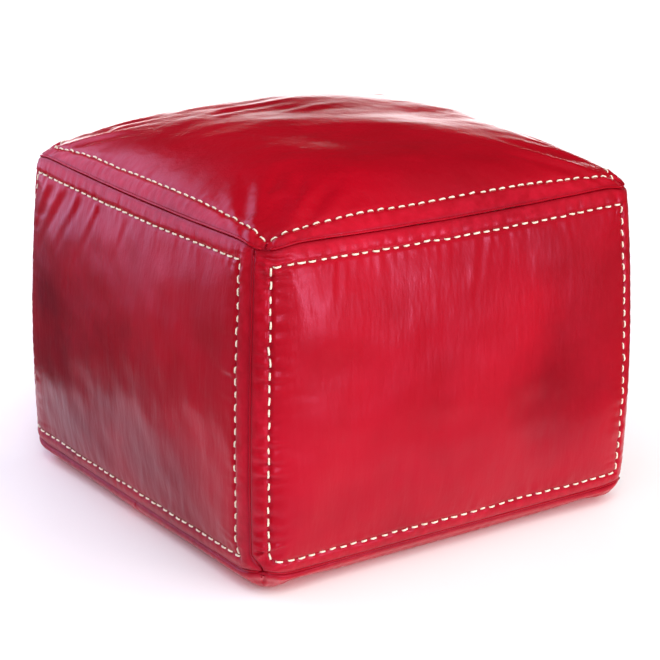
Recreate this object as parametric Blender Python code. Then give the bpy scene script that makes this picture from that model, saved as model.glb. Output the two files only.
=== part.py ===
"""Square Moroccan leather pouf, standing on its base at z = 0 with its front panel facing -Y.

The cover is seven leather panels: a crowned top, four sides and a base in two halves that a zip
joins. A thin welt lies in every seam. A row of thick hand stitching runs along each side of the top
seam and the upright seams, above the base seam, and along each side of the zip. A calico bag of
wadding fills the cover. The zip slider runs along X under the base and carries a pull that swings
about Y.

All panels are cut from one soft box. A place on its sides is (s, v): s runs round the box from 0 to
8, 2 for each side, starting at the corner between left and front, and v runs from -1 at the base
seam to 1 at the top seam. A place on its top or base is (a, b), both from -1 to 1 across the panel.
"""

import math

import bmesh
import bpy
import numpy as np

# Cover, metres
TOP_HALF = 0.2155
BASE_HALF = 0.2225
BASE_SEAM_Z = 0.020
SEAM_RISE = 0.3095
TOP_SEAM_Z = BASE_SEAM_Z + SEAM_RISE
CROWN = 0.042
CROWN_POWER = 2.6
CORNER_RADIUS = 0.026
FACE_BULGE = 0.008
CORNER_BULGE = 0.005
TOP_SAG = 0.004
TOP_TUCK = 0.006
BASE_TUCK = 0.004
TUCK_REACH = 0.018
TUCK_INSET = 0.007
BASE_ROUND = 0.022
NEAR_SEAM_DRIFT = 0.0135
DRIFT_RAMP = 0.14

# Leather, welts and stitching
LEATHER = 0.0018
SEAM_GAP = 0.0025
CORNER_GAP = 0.0033
WELT_RADIUS = 0.0018
WELT_SINK = 0.0008
WELT_END = 0.0065
UPRIGHT_WELT_END = 0.0095
WELT_BENDS = (0.06, 0.11, 0.18, 0.5)
THREAD_RADIUS = 0.0009
THREAD_LIFT = 0.0014
SIDE_ROW = 0.020
TOP_ROW = 0.95
TOP_EDGE = 0.9978
TOP_CORNER_INSET = 0.011
TOP_CORNER_REACH = 0.3
UPPER_ROW = 0.0175
LOWER_ROW = 0.013
ZIP_ROW = 0.0110
ZIP_ROW_END = 0.168

# Grid lines that the panels' faces follow between the seams and the rows, metres
HEM_LINE = 0.011
INNER_LINE = 0.031
ACROSS_LINES = (0.090, 0.170)
RISE_LINES = (0.045, 0.100, 0.160, 0.220, 0.265)
BASE_MIDDLE_LINE = 0.060
BASE_INNER_LINE = 0.100
# The same on the top, as parts of its half width, and down the base's rounded edge, as angles
TOP_HEM_LINE = 0.984
TOP_INNER_LINES = (0.85, 0.60, 0.20)
ROUND_ANGLES = (0.33, 0.55, 0.95)

# Zip, running along X in a trench between the two base halves
SLIT_HALF = 0.007
TRENCH_HALF = 0.022
TRENCH_DEPTH = 0.0066
TRENCH_END = 0.179
TRENCH_FADE = 0.013
TAB_SIDE_GAP = 0.0004
TAB_END_GAP = 0.001
ZIP_HALF = 0.158
TAPE_LOW = 0.0089
TAPE_THICK = 0.0006
TAPE_INNER = 0.0007
TAPE_OUTER = 0.0145
TAPE_END = 0.176
TEETH_LOW = 0.0070
TEETH_THICK = 0.0016
TEETH_INNER = 0.00075
TEETH_OUTER = 0.0036
STOP_LENGTH = 0.003
STOP_GAP = 0.0004
SLIDER_REST_X = 0.150
SLIDER_LENGTH = 0.012
SLIDER_HALF_WIDTH = 0.0045
OUTER_PLATE_LOW = 0.0052
OUTER_PLATE_HIGH = 0.0066
INNER_PLATE_LOW = 0.0099
INNER_PLATE_HIGH = 0.0109
POST_HALF_WIDTH = 0.00035
POST_LENGTH = 0.003
BAIL_HALF_LENGTH = 0.0037
BAIL_HALF_WIDTH = 0.0008
BAIL_LEG = 0.001
BAIL_LOW = 0.0022
BAIL_THICK = 0.0008
PULL_AXIS_Z = 0.0041
PULL_THICK = 0.0012
PULL_HALF_WIDTH = 0.0029
PULL_EYE_HALF = 0.0015
PULL_EYE_END = 0.0055
PULL_LENGTH = 0.024
PULL_TILT = math.radians(8.0)
STEP_IN = 0.0001

# Filling
MIDDLE_Z = 0.190
BAG_SCALE = 0.965
BAG_LOW = 0.0135
BAG_CLOTH = 0.0008
FLAT_TOLERANCE = 0.001
BAG_MOUTH_HALF_X = 0.150
BAG_MOUTH_HALF_Y = 0.050
WADDING_SCALE = 0.940
WADDING_LOW = 0.0180
FILLING_CUTS = 7

COLOURS = {
    "leather_red": ((0.48, 0.006, 0.022), 0.42, 0.0),
    "welt_red": ((0.40, 0.005, 0.018), 0.45, 0.0),
    "thread_cream": ((0.86, 0.80, 0.68), 0.80, 0.0),
    "zip_tape_red": ((0.30, 0.010, 0.020), 0.85, 0.0),
    "zip_brass": ((0.78, 0.57, 0.24), 0.30, 1.0),
    "calico": ((0.80, 0.74, 0.62), 0.90, 0.0),
    "wadding_white": ((0.88, 0.87, 0.84), 0.95, 0.0),
}

SIDES = ("front", "right", "back", "left")


def clear_scene():
    for obj in list(bpy.data.objects):
        bpy.data.objects.remove(obj, do_unlink=True)


def material(name):
    found = bpy.data.materials.get(name)
    if found:
        return found
    colour, roughness, metallic = COLOURS[name]
    made = bpy.data.materials.new(name)
    made.use_nodes = True
    shader = made.node_tree.nodes["Principled BSDF"]
    shader.inputs["Base Color"].default_value = (*colour, 1.0)
    shader.inputs["Roughness"].default_value = roughness
    shader.inputs["Metallic"].default_value = metallic
    made.diffuse_color = (*colour, 1.0)
    return made


# ---- The soft box ----


def round_corner(x, y, half):
    """Pulls the corner of a square of this half width in to the arc of CORNER_RADIUS."""
    core_x = np.clip(x, CORNER_RADIUS - half, half - CORNER_RADIUS)
    core_y = np.clip(y, CORNER_RADIUS - half, half - CORNER_RADIUS)
    out_x = x - core_x
    out_y = y - core_y
    far = np.maximum(np.abs(out_x), np.abs(out_y))
    short = np.minimum(np.abs(out_x), np.abs(out_y))
    angle = math.pi / 4.0 * short / np.maximum(far, 1e-9)
    wide = np.abs(out_x) >= np.abs(out_y)
    new_x = np.sign(out_x) * far * np.where(wide, np.cos(angle), np.sin(angle))
    new_y = np.sign(out_y) * far * np.where(wide, np.sin(angle), np.cos(angle))
    return core_x + new_x, core_y + new_y


def tuck(x, y, z):
    """How far each place is drawn down at the top corners and up at the base corners."""
    top = TOP_HALF - TUCK_INSET
    base = BASE_HALF - TUCK_INSET
    to_top = (np.abs(x) - top) ** 2 + (np.abs(y) - top) ** 2 + (z - TOP_SEAM_Z) ** 2
    to_base = (np.abs(x) - base) ** 2 + (np.abs(y) - base) ** 2 + (z - BASE_SEAM_Z) ** 2
    down = TOP_TUCK * np.exp(-to_top / TUCK_REACH**2)
    return BASE_TUCK * np.exp(-to_base / TUCK_REACH**2) - down


def side_point(s, v):
    s, v = np.broadcast_arrays(np.asarray(s, float) % 8.0, np.asarray(v, float))
    side = np.floor(s / 2.0) % 4
    across = s - 2.0 * side - 1.0
    rise = (v + 1.0) / 2.0
    half = BASE_HALF + (TOP_HALF - BASE_HALF) * rise + CORNER_BULGE * (1.0 - v**2)
    along, out = round_corner(across * half, -half, half)
    out = out - FACE_BULGE * (1.0 - across**2) * (1.0 - v**2) ** 0.7
    turn = side * math.pi / 2.0
    x = along * np.cos(turn) - out * np.sin(turn)
    y = along * np.sin(turn) + out * np.cos(turn)
    z = BASE_SEAM_Z + SEAM_RISE * rise - TOP_SAG * (1.0 - across**2) * rise**3
    return np.stack([x, y, z + tuck(x, y, z)], -1)


def top_point(a, b):
    a, b = np.broadcast_arrays(np.asarray(a, float), np.asarray(b, float))
    rise = (1.0 - np.abs(a) ** CROWN_POWER) * (1.0 - np.abs(b) ** CROWN_POWER)
    sag = (1.0 - a**2) * b**8 + (1.0 - b**2) * a**8
    x, y = round_corner(a * TOP_HALF, b * TOP_HALF, TOP_HALF)
    z = TOP_SEAM_Z + CROWN * np.sqrt(rise) - TOP_SAG * sag
    return np.stack([x, y, z + tuck(x, y, z)], -1)


def base_fall(a, b):
    """How far down its rounded edge the base is, from 0 at the seam to 1 on the flat."""
    outer = np.maximum(np.abs(a), np.abs(b))
    inside = np.clip((1.0 - outer) * BASE_HALF / BASE_ROUND, 0.0, 1.0)
    return np.sqrt(1.0 - (1.0 - inside) ** 2)


def trench(x, y):
    """Depth of the trench that keeps the zip off the floor."""
    across = np.clip((np.abs(y) - SLIT_HALF) / (TRENCH_HALF - SLIT_HALF), 0.0, 1.0)
    along = np.clip((np.abs(x) - TRENCH_END) / TRENCH_FADE, 0.0, 1.0)
    wall = 0.5 + 0.5 * np.cos(math.pi * across)
    return TRENCH_DEPTH * wall * (0.5 + 0.5 * np.cos(math.pi * along))


def base_point(a, b):
    a, b = np.broadcast_arrays(np.asarray(a, float), np.asarray(b, float))
    x, y = round_corner(a * BASE_HALF, b * BASE_HALF, BASE_HALF)
    z = BASE_SEAM_Z * (1.0 - base_fall(a, b)) + trench(x, y)
    return np.stack([x, y, z + tuck(x, y, z)], -1)


def seam_drift(corner, v):
    """How far the seam at a corner strays round the box: only the near one does, above its foot."""
    if corner % 8 != 0:
        return 0.0 * np.asarray(v, float)
    rise = np.clip((np.asarray(v, float) + 1.0) / DRIFT_RAMP, 0.0, 1.0)
    return -NEAR_SEAM_DRIFT / TOP_HALF * rise**2 * (3.0 - 2.0 * rise)


def side_place(side, across, v):
    """The place on one side panel, where across runs from 0 at its first seam to 1 at its last."""
    first = 2.0 * side + seam_drift(2 * side, v)
    last = 2.0 * side + 2.0 + seam_drift(2 * side + 2, v)
    return side_point(first + (last - first) * across, v)


def top_place(a, b):
    """A place on the top panel. Its grid lines draw in near the corners, clear of the welts."""
    near_a = np.clip(1.0 - (1.0 - np.abs(a)) / TOP_CORNER_REACH, 0.0, 1.0)
    near_b = np.clip(1.0 - (1.0 - np.abs(b)) / TOP_CORNER_REACH, 0.0, 1.0)
    drawn = 1.0 - TOP_CORNER_INSET * near_a * near_b
    return top_point(a * drawn, b * drawn)


# ---- Grid lines of the panels, which pass under the rows of stitching ----


def side_across_lines():
    width = 2.0 * TOP_HALF
    near = (CORNER_GAP, HEM_LINE, SIDE_ROW, INNER_LINE)
    low = [distance / width for distance in near + ACROSS_LINES]
    return low + [1.0 - place for place in reversed(low)]


def side_rise_lines():
    heights = [SEAM_GAP, LOWER_ROW, *RISE_LINES]
    heights += [SEAM_RISE - UPPER_ROW, SEAM_RISE - SEAM_GAP]
    return [2.0 * height / SEAM_RISE - 1.0 for height in heights]


def top_lines():
    outer = [TOP_EDGE, TOP_HEM_LINE, TOP_ROW, *TOP_INNER_LINES]
    return [-place for place in outer] + outer[::-1]


def round_lines():
    """Places down the rounded edge of the base, as distances from the middle."""
    angles = [SEAM_GAP / BASE_ROUND, *ROUND_ANGLES, math.pi / 2.0]
    return [BASE_HALF - BASE_ROUND * (1.0 - math.cos(angle)) for angle in angles]


def base_along_lines():
    outer = round_lines() + [TRENCH_END + TRENCH_FADE / 2.0, TRENCH_END, BASE_MIDDLE_LINE]
    return [-place / BASE_HALF for place in outer] + [place / BASE_HALF for place in outer[::-1]]


def base_across_lines():
    outer = round_lines() + [TRENCH_END, BASE_INNER_LINE, TRENCH_HALF, ZIP_ROW, SLIT_HALF]
    return [place / BASE_HALF for place in outer]


# ---- Mesh and curve makers ----


def add_object(name, data, slot):
    obj = bpy.data.objects.new(name, data)
    data.materials.append(material(slot))
    bpy.context.scene.collection.objects.link(obj)
    return obj


def smooth(mesh, angle=40.0):
    mesh.shade_smooth()
    mesh.set_sharp_from_angle(angle=math.radians(angle))


def add_panel(name, points, slot):
    """A leather panel: points is a grid of its outer face, and its thickness goes inwards."""
    rows, columns = points.shape[:2]
    corners = points.reshape(-1, 3)
    faces = []
    for row in range(rows - 1):
        for column in range(columns - 1):
            first = row * columns + column
            faces.append((first, first + 1, first + columns + 1, first + columns))
    mesh = bpy.data.meshes.new(name)
    mesh.from_pydata([tuple(point) for point in corners], [], faces)
    mesh.update()
    smooth(mesh)
    obj = add_object(name, mesh, slot)
    skin = obj.modifiers.new("thickness", "SOLIDIFY")
    skin.thickness = LEATHER
    skin.offset = -1.0
    skin.use_even_offset = True
    return obj


def add_tube(name, points, radius, closed, rounding, slot):
    curve = bpy.data.curves.new(name, "CURVE")
    curve.dimensions = "3D"
    curve.bevel_depth = radius
    curve.bevel_resolution = rounding
    curve.use_fill_caps = not closed
    spline = curve.splines.new("POLY")
    spline.points.add(len(points) - 1)
    for place, point in zip(spline.points, points):
        place.co = (*point, 1.0)
    spline.use_cyclic_u = closed
    return add_object(name, curve, slot)


def box_mesh(mesh_name, low, high):
    mesh = bpy.data.meshes.new(mesh_name)
    shape = bmesh.new()
    bmesh.ops.create_cube(shape, size=1.0)
    for vert in shape.verts:
        for axis in range(3):
            middle = (low[axis] + high[axis]) / 2.0
            vert.co[axis] = middle + vert.co[axis] * (high[axis] - low[axis])
    shape.to_mesh(mesh)
    shape.free()
    return mesh


def add_box(name, low, high, slot):
    return add_object(name, box_mesh(name, low, high), slot)


def add_blocks(name, blocks, slot):
    """One solid from boxes that overlap, each given by its low and high corner."""
    obj = add_box(name, *blocks[0], slot)
    for number, (low, high) in enumerate(blocks[1:]):
        guide = add_box(f"{name}_guide_{number}", low, high, slot)
        guide.hide_render = True
        guide.display_type = "WIRE"
        join = obj.modifiers.new(f"join_{number}", "BOOLEAN")
        join.operation = "UNION"
        join.solver = "EXACT"
        join.object = guide
        guide.parent = obj
    return obj


def outward(point_at, a, b):
    """Unit normal of a surface at a place, from two short steps across it."""
    step = 1e-4
    along = point_at(a + step, b) - point_at(a - step, b)
    across = point_at(a, b + step) - point_at(a, b - step)
    normal = np.cross(along, across)
    return normal / np.linalg.norm(normal)


# ---- Sub-parts ----


def add_side_panels():
    across = np.array(side_across_lines())[None, :]
    rise = np.array(side_rise_lines())[:, None]
    for side, name in enumerate(SIDES):
        add_panel(f"{name}_panel", side_place(side, across, rise), "leather_red")


def add_top_panel():
    lines = np.array(top_lines())
    add_panel("top_panel", top_place(lines[None, :], lines[:, None]), "leather_red")


def add_base_panels():
    along = np.array(base_along_lines())[None, :]
    across = np.array(base_across_lines())[:, None]
    add_panel("base_panel_back", base_point(along, across), "leather_red")
    add_panel("base_panel_front", base_point(along, -across[::-1]), "leather_red")


def add_end_tabs():
    """The two leather tabs that close the base beyond the ends of the zip."""
    half = (SLIT_HALF - TAB_SIDE_GAP) / BASE_HALF
    across = np.array([half, -half])[:, None]
    start = TRENCH_END + TAB_END_GAP
    along = np.array(round_lines() + [TRENCH_END + TRENCH_FADE / 2.0, start]) / BASE_HALF
    add_panel("zip_end_tab_right", base_point(along[None, ::-1], across), "leather_red")
    add_panel("zip_end_tab_left", base_point(-along[None, :], across), "leather_red")


def welt_path(places):
    """Points of a welt just inside the seam, from its (s, v) places."""
    points = []
    for s, v in places:
        step = 1e-4
        along = side_point(s + step, v) - side_point(s - step, v)
        out = np.cross(along, (0.0, 0.0, 1.0))
        points.append(side_point(s, v) - WELT_SINK * out / np.linalg.norm(out))
    return points


def add_welts():
    end = WELT_END / TOP_HALF
    bends = [end, *WELT_BENDS]
    level = bends + [1.0] + [2.0 - place for place in reversed(bends)]
    up_end = 2.0 * UPRIGHT_WELT_END / SEAM_RISE
    upright = [-1.0 + up_end] + side_rise_lines()[1:-1] + [1.0 - up_end]
    for side, name in enumerate(SIDES):
        for seam, v in (("top", 1.0), ("base", -1.0)):
            path = welt_path([(2.0 * side + place, v) for place in level])
            add_tube(f"{seam}_welt_{name}", path, WELT_RADIUS, False, 1, "welt_red")
        corner = 2.0 * side
        path = welt_path([(corner + seam_drift(2 * side, v), v) for v in upright])
        before = SIDES[side - 1]
        add_tube(f"corner_welt_{before}_{name}", path, WELT_RADIUS, False, 1, "welt_red")


def thread_path(point_at, places):
    return [point_at(a, b) + THREAD_LIFT * outward(point_at, a, b) for a, b in places]


def loop_places(first_lines, last_lines):
    """Places round a rectangle of grid lines, in order and each once."""
    places = [(a, last_lines[0]) for a in first_lines[:-1]]
    places += [(first_lines[-1], b) for b in last_lines[:-1]]
    places += [(a, last_lines[-1]) for a in first_lines[:0:-1]]
    places += [(first_lines[0], b) for b in last_lines[:0:-1]]
    return places


def add_stitching():
    """A continuous thread stands for each row of stitches."""
    across = side_across_lines()[2:-2]
    rise = side_rise_lines()[1:-1]
    for side, name in enumerate(SIDES):
        path = thread_path(
            lambda a, b, side=side: side_place(side, a, b), loop_places(across, rise)
        )
        add_tube(f"stitching_{name}", path, THREAD_RADIUS, True, 0, "thread_cream")
    lines = top_lines()[2:-2]
    path = thread_path(top_place, loop_places(lines, lines))
    add_tube("stitching_top", path, THREAD_RADIUS, True, 0, "thread_cream")
    add_base_stitching()


def add_base_stitching():
    """One straight row along each side of the zip, through the leather and the tape."""
    for name, sign in (("back", 1.0), ("front", -1.0)):
        b = sign * ZIP_ROW / BASE_HALF
        path = []
        for x in (-ZIP_ROW_END, 0.0, ZIP_ROW_END):
            a = x / BASE_HALF
            path.append(base_point(a, b) - THREAD_LIFT * outward(base_point, a, b))
        add_tube(f"stitching_base_{name}", path, THREAD_RADIUS, False, 0, "thread_cream")


def add_zip_chain():
    stop_start = ZIP_HALF + STOP_GAP
    stop_end = stop_start + STOP_LENGTH
    teeth_high = TEETH_LOW + TEETH_THICK
    for name, sign in (("front", -1.0), ("back", 1.0)):
        tape = sorted((sign * TAPE_INNER, sign * TAPE_OUTER))
        add_box(
            f"zip_tape_{name}",
            (-TAPE_END, tape[0], TAPE_LOW),
            (TAPE_END, tape[1], TAPE_LOW + TAPE_THICK),
            "zip_tape_red",
        )
        teeth = sorted((sign * TEETH_INNER, sign * TEETH_OUTER))
        add_box(
            f"zip_teeth_{name}",
            (-ZIP_HALF, teeth[0], TEETH_LOW),
            (ZIP_HALF, teeth[1], teeth_high),
            "zip_brass",
        )
        add_box(
            f"zip_top_stop_{name}",
            (stop_start, teeth[0], TEETH_LOW),
            (stop_end, teeth[1], teeth_high),
            "zip_brass",
        )
    add_box(
        "zip_bottom_stop",
        (-stop_end, -TEETH_OUTER, TEETH_LOW),
        (-stop_start, TEETH_OUTER, teeth_high),
        "zip_brass",
    )


def add_slider():
    """The slider's origin is the middle of the pull's pin; its post fills the gap of the tapes.

    Boxes that join step in by STEP_IN from each other, so that no two faces lie in one plane.
    """
    low = -PULL_AXIS_Z
    length = SLIDER_LENGTH / 2.0
    width = SLIDER_HALF_WIDTH
    leg_in = BAIL_HALF_LENGTH - BAIL_LEG
    leg_high = low + OUTER_PLATE_LOW + 4.0 * STEP_IN
    bail_width = BAIL_HALF_WIDTH
    bar_length = BAIL_HALF_LENGTH - STEP_IN
    bar_width = BAIL_HALF_WIDTH - STEP_IN
    blocks = [
        ((-length, -width, low + OUTER_PLATE_LOW), (length, width, low + OUTER_PLATE_HIGH)),
        ((-length, -width, low + INNER_PLATE_LOW), (length, width, low + INNER_PLATE_HIGH)),
        (
            (length - POST_LENGTH, -POST_HALF_WIDTH, low + OUTER_PLATE_HIGH - 5.0 * STEP_IN),
            (length - STEP_IN, POST_HALF_WIDTH, low + INNER_PLATE_LOW + 5.0 * STEP_IN),
        ),
        (
            (-BAIL_HALF_LENGTH, -bail_width, low + BAIL_LOW),
            (-leg_in, bail_width, leg_high),
        ),
        (
            (leg_in, -bail_width, low + BAIL_LOW),
            (BAIL_HALF_LENGTH, bail_width, leg_high),
        ),
        (
            (-bar_length, -bar_width, low + BAIL_LOW + STEP_IN),
            (bar_length, bar_width, low + BAIL_LOW + BAIL_THICK),
        ),
    ]
    slider = add_blocks("zip_slider", blocks, "zip_brass")
    slider.location = (SLIDER_REST_X, 0.0, PULL_AXIS_Z)
    return slider


def add_pull(slider):
    """A flat tab with an eye; its pin passes through the slider's bail, on this object's origin."""
    half = PULL_THICK / 2.0
    thin = half - STEP_IN
    pin = thin - STEP_IN
    wide = PULL_HALF_WIDTH
    arm_start = -PULL_EYE_END - 10.0 * STEP_IN
    blocks = [
        ((-PULL_LENGTH, -wide, -half), (-PULL_EYE_END, wide, half)),
        ((arm_start, STEP_IN - wide, -thin), (half, -PULL_EYE_HALF, thin)),
        ((arm_start, PULL_EYE_HALF, -thin), (half, wide - STEP_IN, thin)),
        ((-pin, 2.0 * STEP_IN - wide, -pin), (pin, wide - 2.0 * STEP_IN, pin)),
    ]
    pull = add_blocks("zip_pull", blocks, "zip_brass")
    pull.parent = slider
    pull.rotation_euler = (0.0, -PULL_TILT, 0.0)
    return pull


def filling_point(corner):
    """Place on the soft box of a point of the cube from -1 to 1."""
    turned = [math.sin(part * math.pi / 2.0) for part in corner]
    x, y, z = corner
    if z > 0.999:
        return top_point(turned[0], turned[1])
    if z < -0.999:
        return base_point(turned[0], turned[1])
    if y < -0.999:
        return side_point(1.0 + turned[0], z)
    if x > 0.999:
        return side_point(3.0 + turned[1], z)
    if y > 0.999:
        return side_point(5.0 - turned[0], z)
    return side_point(7.0 - turned[1], z)


def filling_mesh(name, scale, lowest):
    """The soft box drawn in towards its middle, with its underside raised to clear the zip."""
    mesh = bpy.data.meshes.new(name)
    shape = bmesh.new()
    bmesh.ops.create_cube(shape, size=2.0)
    bmesh.ops.subdivide_edges(shape, edges=shape.edges[:], cuts=FILLING_CUTS, use_grid_fill=True)
    for vert in shape.verts:
        x, y, z = filling_point(tuple(vert.co))
        high = MIDDLE_Z + (z - MIDDLE_Z) * scale
        vert.co = (x * scale, y * scale, max(high, lowest))
    bmesh.ops.recalc_face_normals(shape, faces=shape.faces[:])
    shape.to_mesh(mesh)
    shape.free()
    smooth(mesh)
    return mesh


def add_inner_bag():
    mesh = filling_mesh("inner_bag", BAG_SCALE, BAG_LOW)
    shape = bmesh.new()
    shape.from_mesh(mesh)
    mouth = []
    for face in shape.faces:
        middle = face.calc_center_median()
        below = middle.z < BAG_LOW + FLAT_TOLERANCE
        if below and abs(middle.x) < BAG_MOUTH_HALF_X and abs(middle.y) < BAG_MOUTH_HALF_Y:
            mouth.append(face)
    bmesh.ops.delete(shape, geom=mouth, context="FACES")
    shape.to_mesh(mesh)
    shape.free()
    bag = add_object("inner_bag", mesh, "calico")
    cloth = bag.modifiers.new("thickness", "SOLIDIFY")
    cloth.thickness = BAG_CLOTH
    cloth.offset = -1.0


def add_wadding():
    mesh = filling_mesh("wadding", WADDING_SCALE, WADDING_LOW)
    add_object("wadding", mesh, "wadding_white")


clear_scene()
add_side_panels()
add_top_panel()
add_base_panels()
add_end_tabs()
add_welts()
add_stitching()
add_zip_chain()
add_pull(add_slider())
add_inner_bag()
add_wadding()
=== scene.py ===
import math

import bmesh
import bpy
import numpy as np
from mathutils import Matrix, Vector


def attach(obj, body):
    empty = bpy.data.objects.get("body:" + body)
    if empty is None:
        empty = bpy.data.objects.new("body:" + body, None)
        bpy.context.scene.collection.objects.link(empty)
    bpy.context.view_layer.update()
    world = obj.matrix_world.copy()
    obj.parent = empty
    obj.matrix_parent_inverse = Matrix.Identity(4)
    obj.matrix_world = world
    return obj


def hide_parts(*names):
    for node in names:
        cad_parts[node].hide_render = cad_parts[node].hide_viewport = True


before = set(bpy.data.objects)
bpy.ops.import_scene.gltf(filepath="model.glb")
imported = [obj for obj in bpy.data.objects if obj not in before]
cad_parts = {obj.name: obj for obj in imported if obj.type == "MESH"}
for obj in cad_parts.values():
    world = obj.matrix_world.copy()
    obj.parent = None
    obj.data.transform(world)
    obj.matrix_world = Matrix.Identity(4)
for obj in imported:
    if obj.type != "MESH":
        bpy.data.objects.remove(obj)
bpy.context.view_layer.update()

# The soft box that the cover is cut from, in metres, the same as the CAD model's
TOP_HALF = 0.2155
BASE_HALF = 0.2225
BASE_SEAM_Z = 0.020
SEAM_RISE = 0.3095
TOP_SEAM_Z = BASE_SEAM_Z + SEAM_RISE
TOP_WIDTH = 2.3 * TOP_HALF
CROWN = 0.042
CROWN_POWER = 2.6
CORNER_RADIUS = 0.026
FACE_BULGE = 0.008
CORNER_BULGE = 0.005
TOP_SAG = 0.004
TOP_TUCK = 0.006
BASE_TUCK = 0.004
TUCK_REACH = 0.018
TUCK_INSET = 0.007
BASE_ROUND = 0.022
NEAR_SEAM_DRIFT = 0.0135
DRIFT_RAMP = 0.14
SLIT_HALF = 0.007
TRENCH_HALF = 0.022
TRENCH_DEPTH = 0.0066
TRENCH_END = 0.179
TRENCH_FADE = 0.013

# Rows of stitching
SIDE_ROW = 0.020
UPPER_ROW = 0.0175
LOWER_ROW = 0.013
TOP_ROW = 0.95
ZIP_ROW = 0.0110
ZIP_ROW_END = 0.168
STITCH_PITCH = 0.0116
STITCH_LENGTH = 0.0078
PUCKER_PITCH = 0.0125
PUCKER_RISE = 0.013
PUCKER_TOP = 0.016
PUCKER_FADE = 0.024
THREAD_HALF = 0.00094

# Leather form
LEATHER = 0.0016
ROLL = 0.0032
ZIP_ROLL = 0.0018
HEM = 0.0006
HEM_PILLOW = 0.0009
BASE_HEM = 0.0085
ROW_VALLEY = 0.0010
ROW_WIDTH = 0.0024
ROW_WANDER = 0.0007
# The photograph hides the left panel's far row round the corner, but for its top stitch
FAR_ROW_SHIFT = 0.0110
HOLE_DEPTH = 0.0009
HOLE_WIDTH = 0.0017
HOLE_REACH = 0.006
HEM_EDGE = 0.0030
# Width of the painted shade along the seams
GROOVE_SHADE_WIDTH = 0.0030
CALM_REACH = 0.030
CREASES_PER_EDGE = 11

# Cloth simulation of the cover
CLOTH_STEP = 0.0058
CLOTH_FRAMES = 20
CLOTH_CAP = 0.0038
PUFF = 0.0028
PUFF_REACH = 0.060
SPARE_REACH = 0.030

SIDES = ("front", "right", "back", "left")


# ---- Soft box ----


def round_corner(x, y, half):
    """Pulls the corner of a square of this half width in to the arc of CORNER_RADIUS."""
    core_x = np.clip(x, CORNER_RADIUS - half, half - CORNER_RADIUS)
    core_y = np.clip(y, CORNER_RADIUS - half, half - CORNER_RADIUS)
    out_x = x - core_x
    out_y = y - core_y
    far = np.maximum(np.abs(out_x), np.abs(out_y))
    short = np.minimum(np.abs(out_x), np.abs(out_y))
    angle = math.pi / 4.0 * short / np.maximum(far, 1e-9)
    wide = np.abs(out_x) >= np.abs(out_y)
    new_x = np.sign(out_x) * far * np.where(wide, np.cos(angle), np.sin(angle))
    new_y = np.sign(out_y) * far * np.where(wide, np.sin(angle), np.cos(angle))
    return core_x + new_x, core_y + new_y


def tucked(x, y, z):
    """Points drawn down at the top corners and up at the base corners."""
    top = TOP_HALF - TUCK_INSET
    base = BASE_HALF - TUCK_INSET
    to_top = (np.abs(x) - top) ** 2 + (np.abs(y) - top) ** 2 + (z - TOP_SEAM_Z) ** 2
    to_base = (np.abs(x) - base) ** 2 + (np.abs(y) - base) ** 2 + (z - BASE_SEAM_Z) ** 2
    down = TOP_TUCK * np.exp(-to_top / TUCK_REACH**2)
    up = BASE_TUCK * np.exp(-to_base / TUCK_REACH**2)
    return np.stack([x, y, z + (up - down)], -1)


def side_point(s, v):
    """s runs round the box, 2 for each side from the left-front corner; v from -1 up to 1."""
    s, v = np.broadcast_arrays(np.asarray(s, float) % 8.0, np.asarray(v, float))
    side = np.floor(s / 2.0) % 4
    across = s - 2.0 * side - 1.0
    rise = (v + 1.0) / 2.0
    half = BASE_HALF + (TOP_HALF - BASE_HALF) * rise + CORNER_BULGE * (1.0 - v**2)
    along, out = round_corner(across * half, -half, half)
    out = out - FACE_BULGE * (1.0 - across**2) * np.clip(1.0 - v**2, 0.0, 1.0) ** 0.7
    turn = side * math.pi / 2.0
    x = along * np.cos(turn) - out * np.sin(turn)
    y = along * np.sin(turn) + out * np.cos(turn)
    z = BASE_SEAM_Z + SEAM_RISE * rise - TOP_SAG * (1.0 - across**2) * rise**3
    return tucked(x, y, z)


def top_point(a, b):
    a, b = np.broadcast_arrays(np.asarray(a, float), np.asarray(b, float))
    rise = (1.0 - np.abs(a) ** CROWN_POWER) * (1.0 - np.abs(b) ** CROWN_POWER)
    sag = (1.0 - a**2) * b**8 + (1.0 - b**2) * a**8
    x, y = round_corner(a * TOP_HALF, b * TOP_HALF, TOP_HALF)
    z = TOP_SEAM_Z + CROWN * np.sqrt(np.clip(rise, 0.0, 1.0)) - TOP_SAG * sag
    return tucked(x, y, z)


def trench(x, y):
    """Depth of the trench that keeps the zip off the floor."""
    across = np.clip((np.abs(y) - SLIT_HALF) / (TRENCH_HALF - SLIT_HALF), 0.0, 1.0)
    along = np.clip((np.abs(x) - TRENCH_END) / TRENCH_FADE, 0.0, 1.0)
    wall = 0.5 + 0.5 * np.cos(math.pi * across)
    return TRENCH_DEPTH * wall * (0.5 + 0.5 * np.cos(math.pi * along))


def base_point(x, y):
    """x and y are places across the square of the base, before its corners are rounded."""
    x, y = np.broadcast_arrays(np.asarray(x, float), np.asarray(y, float))
    inside = (BASE_HALF - np.maximum(np.abs(x), np.abs(y))) / BASE_ROUND
    fall = np.sqrt(1.0 - (1.0 - np.clip(inside, 0.0, 1.0)) ** 2)
    x, y = round_corner(x, y, BASE_HALF)
    z = BASE_SEAM_Z * (1.0 - fall) + trench(x, y)
    return tucked(x, y, z)


def seam_drift(corner, v):
    """How far the seam at a corner strays round the box: only the near one does, above its foot."""
    if corner % 8 != 0:
        return 0.0 * np.asarray(v, float)
    rise = np.clip((np.asarray(v, float) + 1.0) / DRIFT_RAMP, 0.0, 1.0)
    return -NEAR_SEAM_DRIFT / TOP_HALF * rise**2 * (3.0 - 2.0 * rise)


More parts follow.
